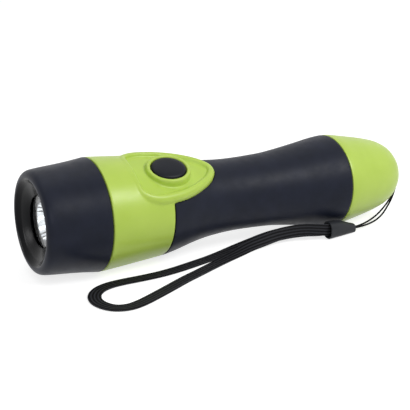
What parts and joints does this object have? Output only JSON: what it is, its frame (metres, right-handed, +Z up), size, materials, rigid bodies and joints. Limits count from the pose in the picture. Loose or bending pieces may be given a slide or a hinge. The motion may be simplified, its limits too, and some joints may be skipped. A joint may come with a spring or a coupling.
{
  "type": "flashlight",
  "caption": "Battery torch with a waisted rubber grip, lime switch collar with a shield-shaped pad, screw-on head and tail cap, and a wrist strap on a string.",
  "frame": {"origin": "on the floor under the middle of the torch's bounding box, strap left out; the torch lies on its collar and tail rims", "axes": "+X from the head towards the tail cap, +Z up; the strap lies on the -Y side"},
  "size_m": [0.2024, 0.0771, 0.0518],
  "materials": {
    "black_shell": "matt rubberised",
    "black_grip": "matt soft rubber",
    "lime_shell": "satin moulded",
    "clear_lens": "clear",
    "mirror_bowl": "vacuum metallised",
    "emitter": "clear dome over yellow phosphor",
    "board": "white solder mask",
    "steel": "nickel plated",
    "sink": "as cast",
    "black_frame": "moulded",
    "brass": "bright",
    "cell": "printed film wrap, left plain",
    "seal": "smooth",
    "button": "satin",
    "plunger": "moulded acetal",
    "webbing": "woven",
    "string": "braided",
    "sleeve": "moulded, satin"
  },
  "bodies": {
    "torch_body": {"switch_collar": "lime_shell", "barrel": "black_frame", "grip_sleeve": "black_grip", "reflector": "mirror_bowl", "led_emitter": "emitter", "led_board": "board", "board_screw_left": "steel", "board_screw_right": "steel", "heat_sink": "sink", "push_switch": "black_frame", "front_contact": "brass", "contact_strip": "brass", "battery_front": "cell", "battery_rear": "cell"},
    "button": {"switch_button": "button", "switch_plunger": "plunger"},
    "bezel_carriage": {"lens_gasket": "seal"},
    "bezel": {"head_bezel": "black_shell", "lens_window": "clear_lens"},
    "tail_carriage": {"tail_seal": "seal", "lanyard_stop": "steel", "lanyard_string": "string", "strap_ferrule": "sleeve", "wrist_strap": "webbing"},
    "tail": {"tail_cap": "lime_shell", "tail_contact_cup": "steel", "tail_spring": "steel"}
  },
  "joints": [
    {"name": "button_press", "type": "slide", "parent": "torch_body", "child": "button", "axis": [-0.0207, 0.454, -0.8908], "range_m": [0, 0.0015], "stiffness_N_per_m": 1200, "springref_m": -0.0008},
    {"name": "bezel_advance", "type": "slide", "parent": "torch_body", "child": "bezel_carriage", "axis": [-0.9997, 0, 0.0233], "range_m": [0, 0.006]},
    {"name": "bezel_turn", "type": "hinge", "parent": "bezel_carriage", "child": "bezel", "pos_m": [-0.07067, 0, 0.02593], "axis": [-0.9997, 0, 0.0233], "range_deg": [0, 720]},
    {"name": "tail_advance", "type": "slide", "parent": "torch_body", "child": "tail_carriage", "axis": [0.9997, 0, -0.0233], "range_m": [0, 0.009]},
    {"name": "tail_turn", "type": "hinge", "parent": "tail_carriage", "child": "tail", "pos_m": [0.05845, 0, 0.02292], "axis": [0.9997, 0, -0.0233], "range_deg": [0, 1080]}
  ],
  "couplings": [
    {"joint": "bezel_turn", "follows": "bezel_advance", "rad_per_m": 2094.4},
    {"joint": "tail_turn", "follows": "tail_advance", "rad_per_m": 2094.4}
  ]
}
